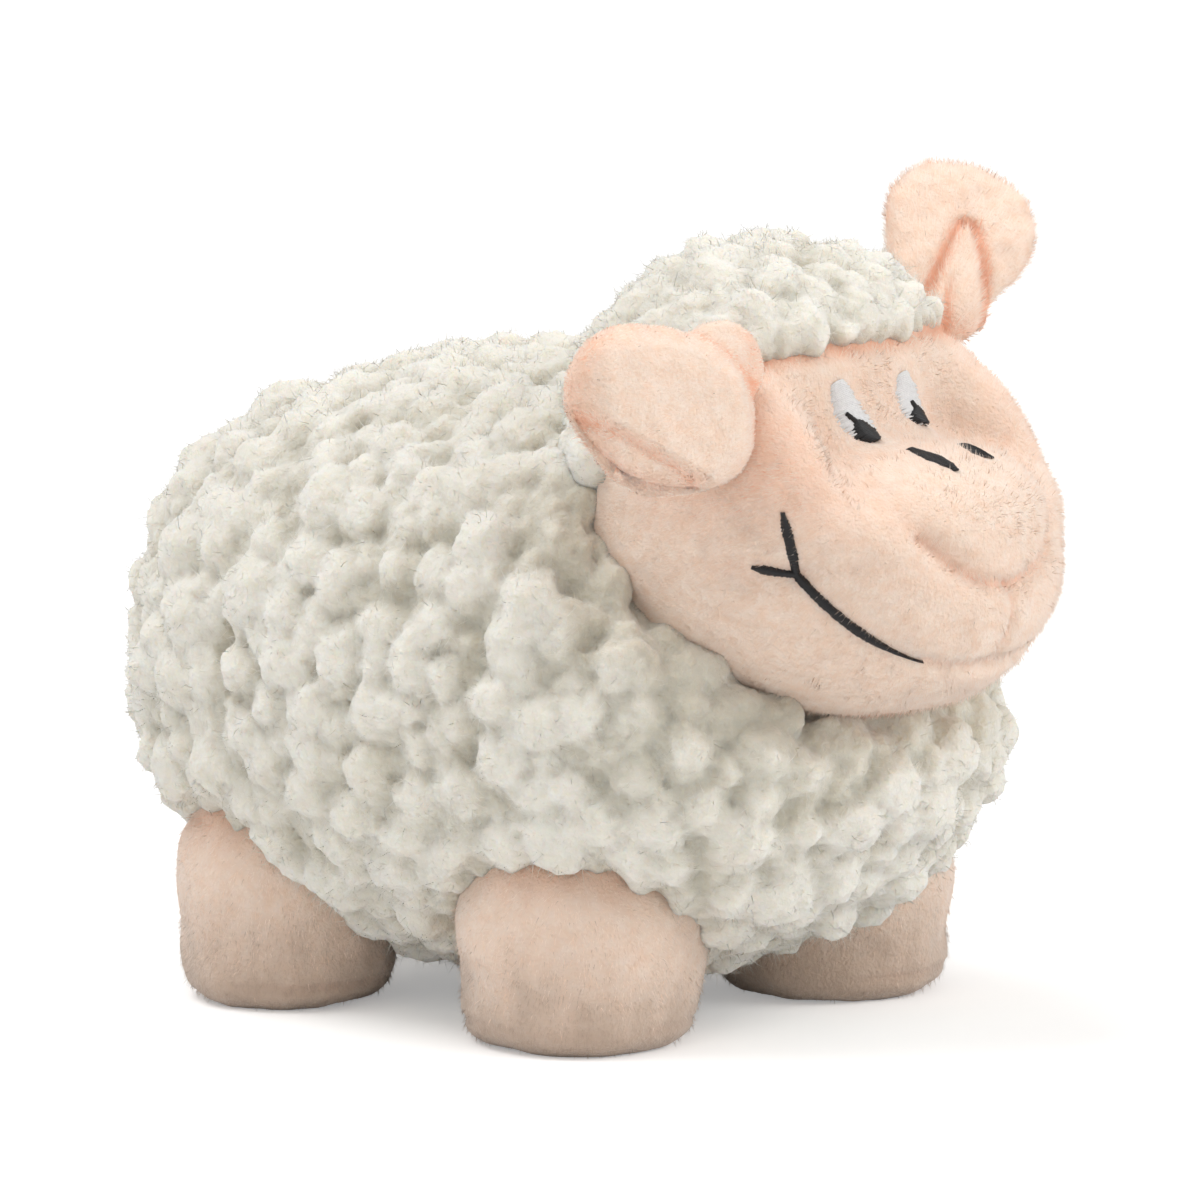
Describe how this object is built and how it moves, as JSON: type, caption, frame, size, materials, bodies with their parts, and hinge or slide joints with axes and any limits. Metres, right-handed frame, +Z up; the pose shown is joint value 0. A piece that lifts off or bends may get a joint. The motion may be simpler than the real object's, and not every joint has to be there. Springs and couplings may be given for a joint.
{
  "type": "plush sheep",
  "caption": "Small standing plush sheep with a curly fleece body and cap, a smooth peach face with stitched eyes and smile, round floppy ears and stubby legs.",
  "frame": {"origin": "on the floor, under the middle of the toy's length and width", "axes": "+Z up, the sheep faces -Y, its left side is +X"},
  "size_m": [0.0888, 0.1243, 0.1001],
  "materials": {
    "fleece": "off-white curly polyester fleece, matt, in tufts about 7 mm across",
    "plush": "pale peach short-pile plush, soft sheen, darker in the seams",
    "sole_plush": "pale peach short-pile plush, slightly soiled",
    "stuffing": "white polyester fibre filling",
    "white_thread": "white satin stitch, glossy thread",
    "black_thread": "black satin stitch, glossy thread"
  },
  "bodies": {
    "body": {"body_fleece_right": "fleece", "body_fleece_left": "fleece", "belly_gusset": "fleece", "body_stuffing": "stuffing"},
    "head": {"head_fleece": "fleece", "nose_panel": "plush", "cheek_right": "plush", "cheek_left": "plush", "chin_panel": "plush", "head_stuffing": "stuffing", "eye_white_right": "white_thread", "eye_white_left": "white_thread", "pupil_right": "black_thread", "pupil_left": "black_thread", "nostril_right": "black_thread", "nostril_left": "black_thread", "mouth_right": "black_thread", "mouth_left": "black_thread"},
    "ear_right": {"ear_front_right": "plush", "ear_back_right": "plush"},
    "ear_left": {"ear_front_left": "plush", "ear_back_left": "plush"},
    "leg_front_right": {"leg_front_right_sleeve": "plush", "leg_front_right_sole": "sole_plush", "leg_front_right_stuffing": "stuffing"},
    "leg_front_left": {"leg_front_left_sleeve": "plush", "leg_front_left_sole": "sole_plush", "leg_front_left_stuffing": "stuffing"},
    "leg_hind_right": {"leg_hind_right_sleeve": "plush", "leg_hind_right_sole": "sole_plush", "leg_hind_right_stuffing": "stuffing"},
    "leg_hind_left": {"leg_hind_left_sleeve": "plush", "leg_hind_left_sole": "sole_plush", "leg_hind_left_stuffing": "stuffing"}
  },
  "joints": [
    {"name": "head_turn", "type": "hinge", "parent": "body", "child": "head", "pos_m": [0.00159, -0.02276, 0.062], "axis": [0, 0, 1], "range_deg": [-12, 12], "stiffness_Nm_per_rad": 0.02},
    {"name": "ear_right_swing", "type": "hinge", "parent": "head", "child": "ear_right", "pos_m": [-0.02491, -0.03735, 0.08024], "axis": [-0.273, -0.9519, 0.1392], "range_deg": [-12, 12], "stiffness_Nm_per_rad": 0.005},
    {"name": "ear_left_swing", "type": "hinge", "parent": "head", "child": "ear_left", "pos_m": [0.03029, -0.02789, 0.08403], "axis": [-0.4027, -0.7022, 0.5872], "range_deg": [-12, 12], "stiffness_Nm_per_rad": 0.005},
    {"name": "leg_front_right_swing", "type": "hinge", "parent": "body", "child": "leg_front_right", "pos_m": [-0.02191, -0.01416, 0.013], "axis": [1, 0, 0], "range_deg": [-12, 12], "stiffness_Nm_per_rad": 0.05},
    {"name": "leg_front_left_swing", "type": "hinge", "parent": "body", "child": "leg_front_left", "pos_m": [0.02509, -0.01416, 0.013], "axis": [1, 0, 0], "range_deg": [-12, 12], "stiffness_Nm_per_rad": 0.05},
    {"name": "leg_hind_right_swing", "type": "hinge", "parent": "body", "child": "leg_hind_right", "pos_m": [-0.02191, 0.03184, 0.0144], "axis": [1, 0, 0], "range_deg": [-12, 12], "stiffness_Nm_per_rad": 0.05},
    {"name": "leg_hind_left_swing", "type": "hinge", "parent": "body", "child": "leg_hind_left", "pos_m": [0.02509, 0.03184, 0.0144], "axis": [1, 0, 0], "range_deg": [-12, 12], "stiffness_Nm_per_rad": 0.05}
  ]
}
